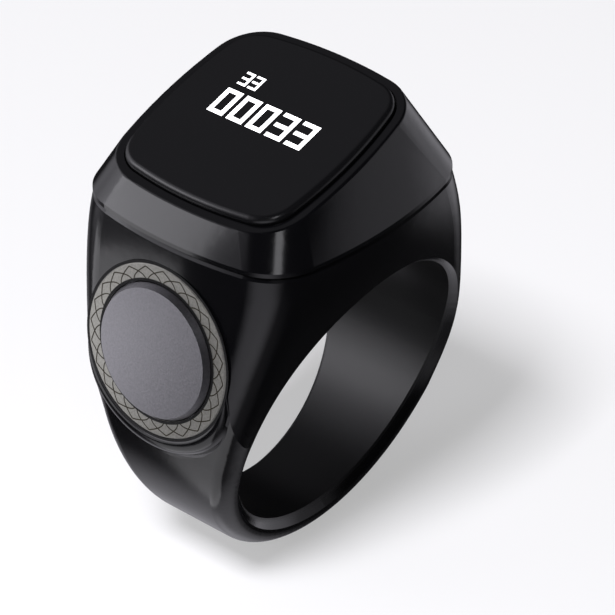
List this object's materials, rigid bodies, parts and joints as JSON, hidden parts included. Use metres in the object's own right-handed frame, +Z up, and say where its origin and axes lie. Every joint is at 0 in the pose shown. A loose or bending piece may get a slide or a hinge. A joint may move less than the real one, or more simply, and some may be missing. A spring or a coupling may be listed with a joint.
{
  "type": "digital tasbih counter",
  "caption": "Finger ring counter with a tilted square touch screen on a signet-shaped head and a round sprung push button on its side wall.",
  "frame": {"origin": "centre of the finger bore", "axes": "+Y along the finger bore, +Z up through the screen, button on the -X side"},
  "size_m": [0.0251, 0.0192, 0.033],
  "materials": {
    "black_shell": "polished",
    "black_rubber": "matte",
    "dark_glass": "polished",
    "tape": "matte",
    "film": "polished",
    "panel_glass": "polished",
    "polyimide": "satin",
    "blasted_metal": "bead blasted",
    "engraved_metal": "engraved",
    "spring_steel": "bright",
    "board_green": "satin",
    "chip_black": "matte",
    "ceramic": "matte",
    "cell_foil": "satin",
    "lead_sleeve": "satin",
    "gold_plate": "plated",
    "magnet_plate": "plated"
  },
  "bodies": {
    "ring": {"ring_body": "black_shell", "bezel": "black_shell", "seam_seal": "black_rubber", "cover_lens": "dark_glass", "lens_adhesive": "tape", "touch_film": "film", "oled_panel": "panel_glass", "display_flex": "polyimide", "button_ring": "engraved_metal", "button_gasket": "black_rubber", "switch_dome": "spring_steel", "switch_board": "board_green", "switch_flex": "polyimide", "main_board": "board_green", "main_chip": "chip_black", "memory_chip": "chip_black", "clock_crystal": "spring_steel", "chip_antenna": "ceramic", "board_passives": "ceramic", "board_screws": "spring_steel", "battery_cell": "cell_foil", "battery_tape": "tape", "battery_leads": "lead_sleeve", "vibration_motor": "spring_steel", "motor_tape": "tape", "charge_contacts": "gold_plate", "charge_magnets": "magnet_plate"},
    "button": {"button_cap": "blasted_metal"}
  },
  "joints": [
    {"name": "button_press", "type": "slide", "parent": "ring", "child": "button", "axis": [0.9854, 0, -0.1702], "range_m": [0, 0.00025], "stiffness_N_per_m": 400, "deforming": ["button_gasket", "switch_dome"]}
  ]
}
